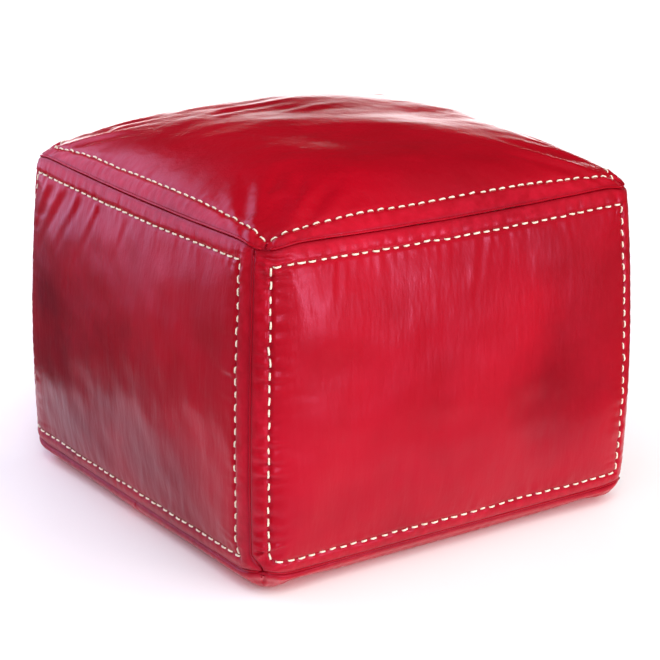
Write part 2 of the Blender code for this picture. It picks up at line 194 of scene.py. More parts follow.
def side_place(side, across, v):
    first = 2.0 * side + seam_drift(2 * side, v)
    last = 2.0 * side + 2.0 + seam_drift(2 * side + 2, v)
    return side_point(first + (last - first) * across, v)


# ---- Small tools ----


def smoothstep(value):
    value = np.clip(value, 0.0, 1.0)
    return value * value * (3.0 - 2.0 * value)


def waves(points, scale, seed, count=14):
    """Smooth noise from -1 to 1: the sum of waves in random directions, scale metres long."""
    rng = np.random.default_rng(seed)
    directions = rng.normal(size=(count, points.shape[-1]))
    lengths = scale * rng.uniform(0.6, 1.6, count)
    directions *= (2.0 * math.pi / lengths / np.linalg.norm(directions, axis=1))[:, None]
    phases = rng.uniform(0.0, 2.0 * math.pi, count)
    total = np.zeros(points.shape[:-1])
    for direction, phase in zip(directions, phases):
        total += np.sin(points @ direction + phase)
    return total / math.sqrt(count / 2.0) / 2.0


def dense_lines(length, coarse=0.0032):
    """Distances from 0 to length, close together near both ends and coarse in the middle."""
    steps = []
    step = 0.0003
    while sum(steps) < length / 2.0:
        steps.append(step)
        near = sum(steps) < 0.028
        step = min(step * 1.22, 0.0012) if near else min(step * 1.10, coarse)
    low = np.concatenate([[0.0], np.cumsum(steps)])
    low = low * (length / 2.0) / low[-1]
    return np.concatenate([low, length - low[-2::-1]])


def arc_lengths(line):
    steps = np.linalg.norm(np.diff(line, axis=0), axis=1)
    return np.concatenate([[0.0], np.cumsum(steps)])


def nearest(points, line):
    """Distance from each point to a line of close points, and how far along it that is."""
    flat = points.reshape(-1, 3)
    square = (line**2).sum(1)[None, :] - 2.0 * flat @ line.T
    at = square.argmin(1)
    gap = np.linalg.norm(flat - line[at], axis=1)
    return gap.reshape(points.shape[:-1]), arc_lengths(line)[at].reshape(points.shape[:-1])


def grid_normals(points):
    along = np.gradient(points, axis=1)
    across = np.gradient(points, axis=0)
    normal = np.cross(along, across)
    return normal / np.maximum(np.linalg.norm(normal, axis=-1, keepdims=True), 1e-12)


def grid_faces(rows, columns):
    first = (np.arange(rows - 1)[:, None] * columns + np.arange(columns - 1)[None, :]).reshape(-1)
    return np.stack([first, first + 1, first + columns + 1, first + columns], -1)


def tube_faces(rings, sides):
    """Faces of a closed tube of rings of points, whose rings run anticlockwise seen from its end."""
    faces = []
    for ring in range(rings - 1):
        for side in range(sides):
            first = ring * sides + side
            after = ring * sides + (side + 1) % sides
            faces.append([first, after, after + sides, first + sides])
    last = (rings - 1) * sides
    return faces + [list(range(sides))[::-1], [last + side for side in range(sides)]]


def unit(vectors):
    return vectors / np.linalg.norm(vectors, axis=-1, keepdims=True)


def new_mesh(name, points, faces):
    mesh = bpy.data.meshes.new(name)
    mesh.from_pydata(np.reshape(points, (-1, 3)).tolist(), [], faces)
    return mesh


def finished_mesh(name, shape):
    mesh = bpy.data.meshes.new(name)
    shape.to_mesh(mesh)
    shape.free()
    return mesh


def add_object(name, data):
    obj = bpy.data.objects.new(name, data)
    bpy.context.scene.collection.objects.link(obj)
    return obj


def add_piece(name, mesh, material, slot, body, *nodes):
    mesh.materials.clear()
    mesh.materials.append(material)
    mesh.shade_smooth()
    obj = add_object(name, mesh)
    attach(obj, body)
    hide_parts(*nodes)
    return obj


def thicken(obj, thickness):
    """Gives an outer face its thickness, inwards."""
    skin = obj.modifiers.new("thickness", "SOLIDIFY")
    skin.thickness = thickness
    skin.offset = -1.0


# ---- Panels ----


class Panel:
    """A leather panel: place(s, t) gives its outer face, s and t from 0 to 1, and rows its stitching.

    rows holds lines of (s, t) pairs. zip_edge is the value of t at the edge along the zip, if any.
    """

    def __init__(self, name, place, width, height, rows, zip_edge=None):
        self.name = name
        self.place = place
        self.rows = rows
        self.zip_edge = zip_edge
        self.s = dense_lines(width) / width
        self.t = dense_lines(height) / height
        self.size = (width, height)
        self.rest = place(self.s[None, :], self.t[:, None])

    def sample(self, grid, s, t):
        """Bilinear value of a grid of this panel's points at (s, t)."""
        column = np.clip(np.searchsorted(self.s, s) - 1, 0, len(self.s) - 2)
        row = np.clip(np.searchsorted(self.t, t) - 1, 0, len(self.t) - 2)
        u = ((s - self.s[column]) / (self.s[column + 1] - self.s[column]))[:, None]
        v = ((t - self.t[row]) / (self.t[row + 1] - self.t[row]))[:, None]
        low = grid[row, column] * (1.0 - u) + grid[row, column + 1] * u
        high = grid[row + 1, column] * (1.0 - u) + grid[row + 1, column + 1] * u
        return low * (1.0 - v) + high * v


def straight(start, end, count=360):
    """(s, t) places on a nearly straight line of the panel: a hand-sewn row wanders a little."""
    part = np.linspace(0.0, 1.0, count)[:, None]
    start = np.array(start)
    end = np.array(end)
    seed = int(1000.0 * (abs(start[0]) + 3.0 * abs(end[1])))
    stray = waves(part, 0.22, seed) * np.sin(math.pi * part[:, 0]) ** 0.5
    turned = (end - start)[::-1] * np.array([-1.0, 1.0]) / np.linalg.norm(end - start)
    size = 2.0 * TOP_HALF
    return start * (1.0 - part) + end * part + turned * (ROW_WANDER / size * stray)[:, None]


def rectangle_rows(s_low, s_high, t_low, t_high):
    corners = [(s_low, t_low), (s_high, t_low), (s_high, t_high), (s_low, t_high)]
    return [straight(corners[i], corners[(i + 1) % 4]) for i in range(4)]


def side_panel(side):
    s_row = SIDE_ROW / (2.0 * TOP_HALF)
    rows = rectangle_rows(s_row, 1.0 - s_row, LOWER_ROW / SEAM_RISE, 1.0 - UPPER_ROW / SEAM_RISE)
    if SIDES[side] == "left":
        far_row = rows[3]
        shift = FAR_ROW_SHIFT / (2.0 * TOP_HALF)
        far_row[:, 0] -= shift * smoothstep((far_row[0, 1] - far_row[:, 1]) / 0.13)
        bottom_row = rows[0]
        bottom_row[:, 0] -= shift * np.linspace(1.0, 0.0, len(bottom_row))
    return Panel(
        SIDES[side],
        lambda s, t: side_place(side, s, 2.0 * t - 1.0),
        2.0 * TOP_HALF,
        SEAM_RISE,
        rows,
    )


def top_panel():
    row = 0.5 + math.asin(TOP_ROW) / math.pi
    return Panel(
        "top",
        lambda s, t: top_point(np.sin(math.pi * (s - 0.5)), np.sin(math.pi * (t - 0.5))),
        TOP_WIDTH,
        TOP_WIDTH,
        rectangle_rows(1.0 - row, row, 1.0 - row, row),
    )


SLIT_CLOSED = 0.0003
SLIT_REACH = 0.030
BASE_ARC = math.pi * BASE_ROUND / 2.0
BASE_WIDTH = 2.0 * (BASE_HALF - BASE_ROUND + BASE_ARC)
BASE_DEPTH = BASE_WIDTH / 2.0 - SLIT_HALF


def base_place(arc):
    """Distance in from the base seam, in plan, of a place this far along the leather from it."""
    bend = BASE_ROUND * (1.0 - np.cos(np.minimum(arc, BASE_ARC) / BASE_ROUND))
    return bend + np.maximum(arc - BASE_ARC, 0.0)


def base_across(s):
    left = base_place(np.minimum(s, 0.5) * BASE_WIDTH) - BASE_HALF
    right = BASE_HALF - base_place(np.minimum(1.0 - s, 0.5) * BASE_WIDTH)
    return np.where(s < 0.5, left, right)


def slit(x):
    """Half width of the gap between the base halves, which closes up beyond the ends of the zip."""
    closed = smoothstep((np.abs(x) - TRENCH_END) / TRENCH_FADE)
    return SLIT_HALF + (SLIT_CLOSED - SLIT_HALF) * closed


def base_panel(name):
    """A base half. t runs from the back of the pouf to the front on both halves."""
    back = name == "base_back"

    def place(s, t):
        arc = t * BASE_DEPTH if back else (1.0 - t) * BASE_DEPTH
        y = BASE_HALF - base_place(arc)
        x = base_across(s)
        near = np.clip(1.0 - (y - SLIT_HALF) / SLIT_REACH, 0.0, 1.0)
        y = y - (SLIT_HALF - slit(x)) * near
        return base_point(x, y if back else -y)

    t_row = 1.0 - (ZIP_ROW - SLIT_HALF) / BASE_DEPTH
    s_row = 0.5 - ZIP_ROW_END / BASE_WIDTH
    if not back:
        t_row = 1.0 - t_row
    rows = [straight((s_row, t_row), (1.0 - s_row, t_row))]
    return Panel(name, place, BASE_WIDTH, BASE_DEPTH, rows, zip_edge=1.0 if back else 0.0)


# ---- Form of the leather ----


def edge_lines(panel):
    """(line of points, radius of its rolled edge) for each edge of a panel."""
    part = np.linspace(0.0, 1.0, 500)
    zero = 0.0 * part
    edges = []
    for s, t in ((part, zero), (part, zero + 1.0), (zero, part), (zero + 1.0, part)):
        along_zip = panel.zip_edge is not None and np.all(t == panel.zip_edge)
        edges.append((panel.place(s, t), ZIP_ROLL if along_zip else ROLL))
    return edges


def roll_depth(gap, radius):
    inside = np.clip(1.0 - gap / radius, 0.0, 1.0)
    return radius * (1.0 - np.sqrt(1.0 - inside**2))


def stitch_places(panel, seed):
    """For each row its line and arc lengths, and its stitches' middles, half lengths, strays, turns."""
    rng = np.random.default_rng(seed)
    made = []
    for row in panel.rows:
        line = panel.place(row[:, 0], row[:, 1])
        arcs = arc_lengths(line)
        count = int(round(arcs[-1] / STITCH_PITCH))
        middles = (np.arange(count) + 0.5) * arcs[-1] / count
        middles += rng.normal(0.0, 0.00035, count)
        halves = STITCH_LENGTH / 2.0 * rng.normal(1.0, 0.06, count)
        strays = rng.normal(0.0, 0.00030, count)
        turns = rng.normal(0.0, 0.05, count)
        made.append((line, arcs, middles, halves, strays, turns))
    return made


def along_line(line, arcs, at):
    return np.stack([np.interp(at, arcs, line[:, axis]) for axis in range(line.shape[1])], -1)


def crease(gaps, start, angle, length, width, height):
    """A soft fold that starts at a place and fades out along its length; gaps are metres across."""
    x = gaps[0] - start[0]
    y = gaps[1] - start[1]
    along = x * math.cos(angle) + y * math.sin(angle)
    across = -x * math.sin(angle) + y * math.cos(angle)
    fade = smoothstep(along / (0.18 * length) + 0.5) * (1.0 - smoothstep(along / length))
    bend = across + 0.10 * along * np.sin(along / length * 2.0)
    ridge = np.exp(-((bend / width) ** 2)) - 0.7 * np.exp(-(((bend - 1.7 * width) / width) ** 2))
    return height * fade * ridge


# Soft swellings, listed one by one: metres across the panel, metres up it or down from its top where
# negative, reach and height
NAMED_HILLS = {
    "front": (
        (0.070, -0.074, 0.034, 0.0042),
        (0.066, 0.150, 0.030, 0.0018),
        (0.060, 0.082, 0.026, 0.0024),
    ),
    "left": ((0.090, -0.070, 0.045, 0.0030), (0.300, 0.100, 0.060, 0.0030)),
}
# Folds that stand out, listed one by one: as above, then angle, length, width and height
NAMED_FOLDS = {
    "front": (
        (0.080, -0.019, -1.62, 0.060, 0.0040, 0.0012),
        (0.092, -0.019, -1.50, 0.045, 0.0032, 0.0009),
        (0.245, -0.019, -1.66, 0.075, 0.0048, 0.0011),
        (0.262, -0.019, -1.72, 0.055, 0.0036, 0.0008),
        (0.282, -0.019, -1.60, 0.040, 0.0030, 0.0006),
    ),
    "left": (
        (0.050, -0.020, -2.05, 0.085, 0.0050, 0.0016),
        (0.078, -0.020, -2.10, 0.105, 0.0055, 0.0018),
        (0.112, -0.020, -2.05, 0.095, 0.0050, 0.0014),
        (0.150, -0.020, -1.95, 0.080, 0.0048, 0.0012),
        (0.205, -0.020, -1.80, 0.060, 0.0045, 0.0008),
    ),
    "top": (
        (0.150, 0.300, 0.15, 0.110, 0.0075, 0.0013),
        (0.170, 0.330, 0.05, 0.130, 0.0080, 0.0015),
        (0.140, 0.360, 0.10, 0.150, 0.0075, 0.0012),
        (0.215, 0.275, 0.20, 0.090, 0.0070, 0.0009),
    ),
}


def up_from_foot(y, size):
    return y if y >= 0.0 else size[1] + y


def named_hills(panel, gaps, size):
    """Height of a panel's soft swellings; gaps are metres across and up it, and size its whole."""
    total = np.zeros_like(gaps[0])
    for x, y, reach, height in NAMED_HILLS.get(panel.name, ()):
        gap = (gaps[0] - x) ** 2 + (gaps[1] - up_from_foot(y, size)) ** 2
        total += height * np.exp(-gap / reach**2)
    return total


def named_folds(panel, gaps, size):
    """Height of the folds that stand out on a panel."""
    total = np.zeros_like(gaps[0])
    for x, y, angle, length, width, height in NAMED_FOLDS.get(panel.name, ()):
        total += crease(gaps, (x, up_from_foot(y, size)), angle, length, width, height)
    return total


def random_creases(gaps, size, seed):
    """Short folds that run in from the rows of stitching, as tight leather shows."""
    rng = np.random.default_rng(seed)
    total = np.zeros_like(gaps[0])
    for edge, inwards in enumerate((math.pi / 2.0, -math.pi / 2.0, 0.0, math.pi)):
        span, depth = size if edge < 2 else size[::-1]
        for _ in range(CREASES_PER_EDGE):
            place = rng.uniform(0.06, 0.94) * span
            lean = rng.normal(0.0, 0.32)
            length = rng.uniform(0.022, 0.070)
            width = rng.uniform(0.0018, 0.0042)
            height = rng.uniform(0.00015, 0.00060)
            inset = rng.uniform(0.012, 0.020)
            in_from_edge = inset if edge % 2 == 0 else depth - inset
            start = (place, in_from_edge) if edge < 2 else (in_from_edge, place)
            total += crease(gaps, start, inwards + lean, length, width, height)
    return total


def metric(panel):
    """Metres across and up the panel, measured along its middle lines."""
    middle_row = panel.rest[len(panel.t) // 2]
    middle_column = panel.rest[:, len(panel.s) // 2]
    across = arc_lengths(middle_row)
    up = arc_lengths(middle_column)
    grid = np.meshgrid(across, up)
    return grid, (across[-1], up[-1])


# Pucker height along the bottom, top, first and last edge of each panel, metres
PUCKERS = {
    "front": (0.00025, 0.00060, 0.00175, 0.00050),
    "right": (0.00020, 0.00035, 0.00060, 0.00040),
    "back": (0.00020, 0.00035, 0.00060, 0.00040),
    "left": (0.00020, 0.00030, 0.00035, 0.00030),
    "top": (0.00035, 0.00030, 0.00030, 0.00030),
    "base_back": (0.00030, 0.0, 0.00030, 0.00030),
    "base_front": (0.0, 0.00030, 0.00030, 0.00030),
}
SEEDS = {"front": 11, "right": 23, "back": 37, "left": 41, "top": 53, "base_back": 67, "base_front": 71}


def outside_rows(panel):
    """1 at places between the rows and the seams, 0 inside the rectangle of rows."""
    low = np.min([row.min(0) for row in panel.rows], 0)
    high = np.max([row.max(0) for row in panel.rows], 0)
    s, t = np.meshgrid(panel.s, panel.t)
    inside = (s > low[0]) & (s < high[0]) & (t > low[1]) & (t < high[1])
    return 1.0 - inside


def puckers(panel, edge, gap, place, seed):
    """Gathers that run across one edge of a panel, spaced like its stitches but unevenly."""
    height = PUCKERS[panel.name][edge]
    line = place[..., None]
    strength = 0.65 + 0.5 * waves(line, 0.060, seed)
    shift = 1.3 * waves(line, 0.040, seed + 1) + 0.9 * waves(panel.rest, 0.025, seed + 2)
    turn = 2.0 * math.pi * place / PUCKER_PITCH + shift
    sharp = np.sin(turn) + 0.45 * np.cos(2.0 * turn) + 0.15 * np.sin(3.0 * turn)
    reach = smoothstep(gap / PUCKER_RISE) * (1.0 - smoothstep((gap - PUCKER_TOP) / PUCKER_FADE))
    return height * np.clip(strength, 0.15, 1.2) * sharp * reach


def needle_holes(panel, row, seed):
    """1 in the middle of each needle hole and 0 away from it; row is the distance to the rows."""
    hole = np.zeros(row.shape)
    near = row < HOLE_REACH
    close = panel.rest[near]
    for line, arcs, middles, halves, _, _ in stitch_places(panel, seed):
        ends = np.concatenate([middles - halves, middles + halves])
        spots = along_line(line, arcs, np.clip(ends, 0.0, arcs[-1]))
        gap = np.sqrt(((close[:, None, :] - spots[None, :, :]) ** 2).sum(-1).min(1))
        hole[near] = np.maximum(hole[near], np.exp(-((gap / HOLE_WIDTH) ** 2)))
    return hole


def form_panel(panel, settled):
    """Outer face of a panel with its rolled edges, hem, stitched valley, puckers and folds.

    It returns the points and what the leather's material reads, from 0 to 1: hem, the painted shade in
    the seam grooves, and hole, which the material also darkens as painted shade.
    """
    seed = SEEDS[panel.name]
    is_base = panel.zip_edge is not None
    points = panel.rest + settled
    normals = grid_normals(points)
    gaps, size = metric(panel)
    seam = np.full(points.shape[:2], 1.0)
    sink = np.zeros(points.shape[:2])
    out = np.zeros(points.shape[:2])
    for edge, (line, radius) in enumerate(edge_lines(panel)):
        gap, place = nearest(panel.rest, line)
        sink = np.maximum(sink, roll_depth(gap, radius))
        if radius == ROLL:
            seam = np.minimum(seam, gap)
            out += puckers(panel, edge, gap, place, 10 * seed + edge)
    row = np.full(points.shape[:2], 1.0)
    for line in panel.rows:
        gap, _ = nearest(panel.rest, panel.place(line[:, 0], line[:, 1]))
        row = np.minimum(row, gap)
    if is_base:
        band = 1.0 - smoothstep((seam - BASE_HEM) / HEM_EDGE)
        share = np.clip(seam / BASE_HEM, 0.0, 1.0)
    else:
        outside = outside_rows(panel)
        band = smoothstep(np.where(outside > 0.5, row, -row) / HEM_EDGE + 0.5)
        share = np.where(outside > 0.5, seam / np.maximum(seam + row, 1e-6), 0.0)
    out += HEM * band + HEM_PILLOW * np.sin(math.pi * share) - sink
    out -= ROW_VALLEY * np.exp(-((row / ROW_WIDTH) ** 2))
    wide = np.exp(-((row / 0.010) ** 2))
    out += 0.00022 * waves(points, 0.012, seed + 3) * wide * smoothstep(seam / 0.004)
    out += named_folds(panel, gaps, size) * smoothstep(seam / 0.012)
    pressed = smoothstep(points[..., 2] / 0.010) if is_base else 1.0
    out += random_creases(gaps, size, seed + 4) * smoothstep(seam / 0.010) * pressed
    out += named_hills(panel, gaps, size)
    if not is_base:
        out += PUFF * (1.0 - np.clip(1.0 - seam / PUFF_REACH, 0.0, 1.0) ** 2)
        lumps = 0.0016 * waves(points, 0.130, 5) + 0.0005 * waves(points, 0.050, 6)
        out += smoothstep(seam / CALM_REACH) * lumps
    # The holes dent the leather, and the material darkens them as painted shade
    hole = needle_holes(panel, row, seed)
    out -= HOLE_DEPTH * hole
    # Painted shade in the seam grooves, for the leather's material to darken
    groove_shade = np.exp(-((seam / GROOVE_SHADE_WIDTH) ** 2))
    formed = points + normals * out[..., None]
    if is_base:
        formed[..., 2] = np.maximum(formed[..., 2], 0.0)
    return formed, {"hem": band, "groove_shade": groove_shade, "hole": hole}


# ---- Cloth simulation of the cover ----

CLOTH_SETTINGS = {
    "quality": 6,
    "mass": 0.30,
    "tension_stiffness": 20.0,
    "compression_stiffness": 20.0,
    "shear_stiffness": 8.0,
    "bending_stiffness": 0.8,
    "air_damping": 2.0,
    "vertex_group_mass": "held",
    "use_pressure": True,
    "uniform_pressure_force": 4.0,
    "vertex_group_shrink": "loose",
    "shrink_min": 0.0,
    "shrink_max": -0.05,
}


def cubic_weights(knots, lines):
    """Matrix that takes values at evenly spaced knots from 0 to 1 to cubic values at lines."""
    place = lines * (knots - 1)
    first = np.clip(np.floor(place).astype(int), 0, knots - 2)
    u = place - first
    parts = (
        -0.5 * u**3 + u**2 - 0.5 * u,
        1.5 * u**3 - 2.5 * u**2 + 1.0,
        -1.5 * u**3 + 2.0 * u**2 + 0.5 * u,
        0.5 * u**3 - 0.5 * u**2,
    )
    weights = np.zeros((len(lines), knots))
    for step, part in enumerate(parts):
        knot = np.clip(first + step - 1, 0, knots - 1)
        np.add.at(weights, (np.arange(len(lines)), knot), part)
    return weights


def cloth_grid(panel):
    """Points, faces, held points and spare leather of a panel's part of the cover."""
    s, t = [np.linspace(0.0, 1.0, int(round(size / CLOTH_STEP)) + 1) for size in panel.size]
    from_edge = np.minimum(
        np.minimum(s, 1.0 - s)[None, :] * panel.size[0],
        np.minimum(t, 1.0 - t)[:, None] * panel.size[1],
    )
    grid = panel.place(s[None, :], t[:, None])
    held = (from_edge < 0.4 * CLOTH_STEP).reshape(-1)
    spare = np.clip(1.0 - from_edge / SPARE_REACH, 0.0, 1.0).reshape(-1)
    return grid, grid_faces(len(t), len(s)), held, spare


def run_cloth(rest, faces, held, spare):
    """Where the cover's points are after CLOTH_FRAMES of pressure from inside."""
    mesh = new_mesh("cover_cloth", rest, faces)
    cover = add_object("cover_cloth", mesh)
    held_group = cover.vertex_groups.new(name="held")
    held_group.add(np.flatnonzero(held).tolist(), 1.0, "REPLACE")
    loose_group = cover.vertex_groups.new(name="loose")
    for vertex in np.flatnonzero(spare).tolist():
        loose_group.add([vertex], float(spare[vertex]), "REPLACE")
    cloth = cover.modifiers.new("cloth", "CLOTH")
    for name, value in CLOTH_SETTINGS.items():
        setattr(cloth.settings, name, value)
    cloth.settings.effector_weights.gravity = 0.0
    cloth.collision_settings.use_collision = False
    cloth.point_cache.frame_end = CLOTH_FRAMES
    scene = bpy.context.scene
    for frame_number in range(1, CLOTH_FRAMES + 1):
        scene.frame_set(frame_number)
    evaluated = cover.evaluated_get(bpy.context.evaluated_depsgraph_get()).to_mesh()
    settled = np.empty(rest.size, np.float32)
    evaluated.vertices.foreach_get("co", settled)
    scene.frame_set(1)
    bpy.data.objects.remove(cover, do_unlink=True)
    bpy.data.meshes.remove(mesh)
    return settled.reshape(-1, 3).astype(float)


def settle_cover(panels):
    """Movement of each panel's points once the filling's pressure has billowed the cover out.

    It is one Cloth run of every panel, held along the seams, with spare leather near them that
    gathers into puckers.
    """
    grids, faces, held, spare = zip(*[cloth_grid(panel) for panel in panels])
    rest = np.concatenate([grid.reshape(-1, 3) for grid in grids])
    firsts = np.cumsum([0] + [grid.shape[0] * grid.shape[1] for grid in grids])
    faces = np.concatenate([quads + first for quads, first in zip(faces, firsts)])
    moved = run_cloth(rest, faces.tolist(), np.concatenate(held), np.concatenate(spare)) - rest
    far = np.linalg.norm(moved, axis=1, keepdims=True)
    moved *= CLOTH_CAP * np.tanh(far / CLOTH_CAP) / np.maximum(far, 1e-9)
    made = []
    for panel, grid, first in zip(panels, grids, firsts):
        rows, columns = grid.shape[:2]
        part = moved[first : first + rows * columns].reshape(grid.shape)
        up = cubic_weights(rows, panel.t)
        across = cubic_weights(columns, panel.s)
        made.append(np.einsum("ar,rcx,bc->abx", up, part, across, optimize=True))
    return made


# ---- Pieces of the cover ----


def add_panel(panel, points, marks, material):
    name = f"{panel.name}_leather"
    mesh = new_mesh(name, points, grid_faces(*points.shape[:2]).tolist())
    node = panel.name.replace("base_", "base_panel_") if "base" in panel.name else f"{panel.name}_panel"
    obj = add_piece(name, mesh, material, "leather_red", "pouf", node)
    for mark, values in marks.items():
        attribute = mesh.attributes.new(mark, "FLOAT", "POINT")
        attribute.data.foreach_set("value", values.reshape(-1).astype(np.float32))
    thicken(obj, LEATHER)


# ---- Stitches ----

STITCH_RINGS = 13
STITCH_SIDES = 10


def stitch_mesh(middle, along, out, half):
    """Points of one stitch: a plump two-ply thread that dives into the leather at both ends."""
    across = np.cross(out, along)
    part = np.linspace(-1.0, 1.0, STITCH_RINGS)
    lift = 0.00060 - 0.0030 * np.abs(part) ** 5
    swell = 0.86 + 0.14 * np.sqrt(np.clip(1.0 - part**2, 0.0, 1.0))
    angle = np.linspace(0.0, 2.0 * math.pi, STITCH_SIDES, endpoint=False)
    twist = 3.2 * part[:, None]
    ply = 1.0 + 0.10 * np.cos(2.0 * (angle[None, :] - twist))
    wide = THREAD_HALF * swell[:, None] * ply * np.cos(angle)[None, :]
    high = 0.80 * THREAD_HALF * swell[:, None] * ply * np.sin(angle)[None, :] + lift[:, None]
    run = middle + along * (half * part)[:, None]
    return run[:, None, :] + across * wide[..., None] + out * high[..., None]


def add_stitching(panel, points, material):
    """Every stitch of a panel's rows, laid on the leather as it is formed."""
    normals = grid_normals(points)
    one_stitch = tube_faces(STITCH_RINGS, STITCH_SIDES)
    verts = []
    faces = []
    for (_, arcs, middles, halves, strays, turns), row in zip(
        stitch_places(panel, SEEDS[panel.name]), panel.rows
    ):
        for middle, half, stray, turn in zip(middles, halves, strays, turns):
            at = np.array([middle - half, middle, middle + half])
            spots = along_line(row, arcs, np.clip(at, 0.0, arcs[-1]))
            places = panel.sample(points, spots[:, 0], spots[:, 1])
            out = panel.sample(normals, spots[1:2, 0], spots[1:2, 1])[0]
            along = places[2] - places[0]
            along = unit(along - out * (along @ out))
            across = np.cross(out, along)
            along = along * math.cos(turn) + across * math.sin(turn)
            first = len(verts) * STITCH_RINGS * STITCH_SIDES
            verts.append(stitch_mesh(places[1] + across * stray, along, out, half))
            faces += [[first + corner for corner in face] for face in one_stitch]
    node = f"stitching_{panel.name}"
    mesh = new_mesh(node, verts, faces)
    add_piece(f"{panel.name}_stitches", mesh, material, "thread_cream", "pouf", node)


# ---- Welts ----

WELT_SIDES = 10
WELT_HALF_WIDTH = 0.0012
WELT_HALF_HEIGHT = 0.0018
WELT_WANDER = 0.00025
WELT_POINTS = 240
WELT_END = 0.0045
WELT_SINK = 0.0010
TOP_WELT_RAISE = 0.0008
CORNER_POINTS = 200
CORNER_SINK = 0.0012


def add_welt(name, node, line, out, material):
    """A folded strip of leather that follows a seam, a little sunk between its two panels."""
    arcs = arc_lengths(line)
    wander = waves(line, 0.035, 91) * WELT_WANDER
    along = unit(np.gradient(line, axis=0))
    out = unit(out - along * (out * along).sum(1, keepdims=True))
    across = np.cross(out, along)
    angle = np.linspace(0.0, 2.0 * math.pi, WELT_SIDES, endpoint=False)
    taper = np.minimum(1.0, np.minimum(arcs, arcs[-1] - arcs) / 0.003 + 0.35)
    wide = WELT_HALF_WIDTH * np.cos(angle)[None, :] * taper[:, None] + wander[:, None]
    high = WELT_HALF_HEIGHT * np.sin(angle)[None, :] * taper[:, None]
    verts = line[:, None, :] + across[:, None, :] * wide[..., None] + out[:, None, :] * high[..., None]
    mesh = new_mesh(name, verts, tube_faces(len(line), WELT_SIDES))
    add_piece(name, mesh, material, "welt_red", "pouf", node)


def seam_path(s, v):
    """Line along a seam and the horizontal direction that faces out of the box there."""
    step = 1e-4
    along = side_point(s + step, v) - side_point(s - step, v)
    return side_point(s, v), unit(np.cross(along, (0.0, 0.0, 1.0)))


def add_welts(material):
    end = WELT_END / TOP_HALF
    for side, name in enumerate(SIDES):
        s = np.linspace(2.0 * side + end, 2.0 * side + 2.0 - end, WELT_POINTS)
        for seam, v, raised in (("top", 1.0, TOP_WELT_RAISE), ("base", -1.0, 0.0)):
            line, out = seam_path(s, np.full(WELT_POINTS, v))
            line = line - out * WELT_SINK + np.array([0.0, 0.0, raised])
            add_welt(f"{seam}_seam_{name}", f"{seam}_welt_{name}", line, out, material)
        v = np.linspace(-1.0 + 0.045, 1.0 - 0.040, CORNER_POINTS)
        line, out = seam_path(2.0 * side + seam_drift(2 * side, v), v)
        line = line - out * CORNER_SINK
        corner = f"{SIDES[side - 1]}_{name}"
        add_welt(f"corner_seam_{corner}", f"corner_welt_{corner}", line, out, material)


# ---- Zip ----

TEETH_LOW = 0.0070
TEETH_HIGH = 0.0086
TOOTH_PITCH = 0.0026
TOOTH_HEAD = 0.00055
TOOTH_ROOT = 0.0036
ZIP_HALF = 0.158
TAPE_LOW = 0.0089
TAPE_HIGH = 0.0095
TAPE_INNER = 0.0007
TAPE_OUTER = 0.0145
TAPE_HALF_LENGTH = 0.176
METAL_EDGE = 0.00025
TAPE_RINGS = 240
TAB_HALF = 0.0062
TAB_GAP = 0.0023
TAB_LEATHER = 0.0012


def tooth_shape():
    """One cast tooth: jaws that grip the tape's cord, a waist, and a rounded head. Points, faces."""
    shape = bmesh.new()
    profile = (
        (TOOTH_ROOT, 0.00062),
        (0.0021, 0.00062),
        (0.0018, 0.00042),
        (0.0013, 0.00042),
        (0.0011, 0.00058),
        (TOOTH_HEAD + 0.0001, 0.00052),
        (TOOTH_HEAD, 0.00036),
    )
    side = [(half, y) for y, half in profile]
    outline = [(-half, y) for half, y in side] + side[::-1]
    lower = [shape.verts.new((x, y, TEETH_LOW)) for x, y in outline]
    upper = [shape.verts.new((x, y, TEETH_HIGH)) for x, y in outline]
    shape.faces.new(lower[::-1])
    shape.faces.new(upper)
    for i in range(len(outline)):
        j = (i + 1) % len(outline)
        shape.faces.new((lower[i], lower[j], upper[j], upper[i]))
    bmesh.ops.recalc_face_normals(shape, faces=shape.faces[:])
    bmesh.ops.bevel(
        shape, geom=shape.edges[:], offset=0.00012, segments=1, affect="EDGES", profile=0.5
    )
    shape.verts.index_update()
    points = np.array([vert.co for vert in shape.verts])
    faces = [[vert.index for vert in face.verts] for face in shape.faces]
    shape.free()
    return points, faces


def add_teeth(side, material):
    """A row of teeth; those of the back row stand half a pitch along from the front row's."""
    points, faces = tooth_shape()
    back = side == "back"
    count = int(2.0 * ZIP_HALF / TOOTH_PITCH) - 1
    start = (0.5 * back - 0.5 * (count - 0.5)) * TOOTH_PITCH
    places = start + TOOTH_PITCH * np.arange(count)
    verts = [points * (1.0, 1.0 if back else -1.0, 1.0) + (place, 0.0, 0.0) for place in places]
    turned = faces if back else [face[::-1] for face in faces]
    firsts = range(0, count * len(points), len(points))
    quads = [[first + corner for corner in face] for first in firsts for face in turned]
    mesh = new_mesh(f"zip_row_{side}", verts, quads)
    add_piece(f"zip_row_{side}", mesh, material, "zip_brass", "pouf", f"zip_teeth_{side}")


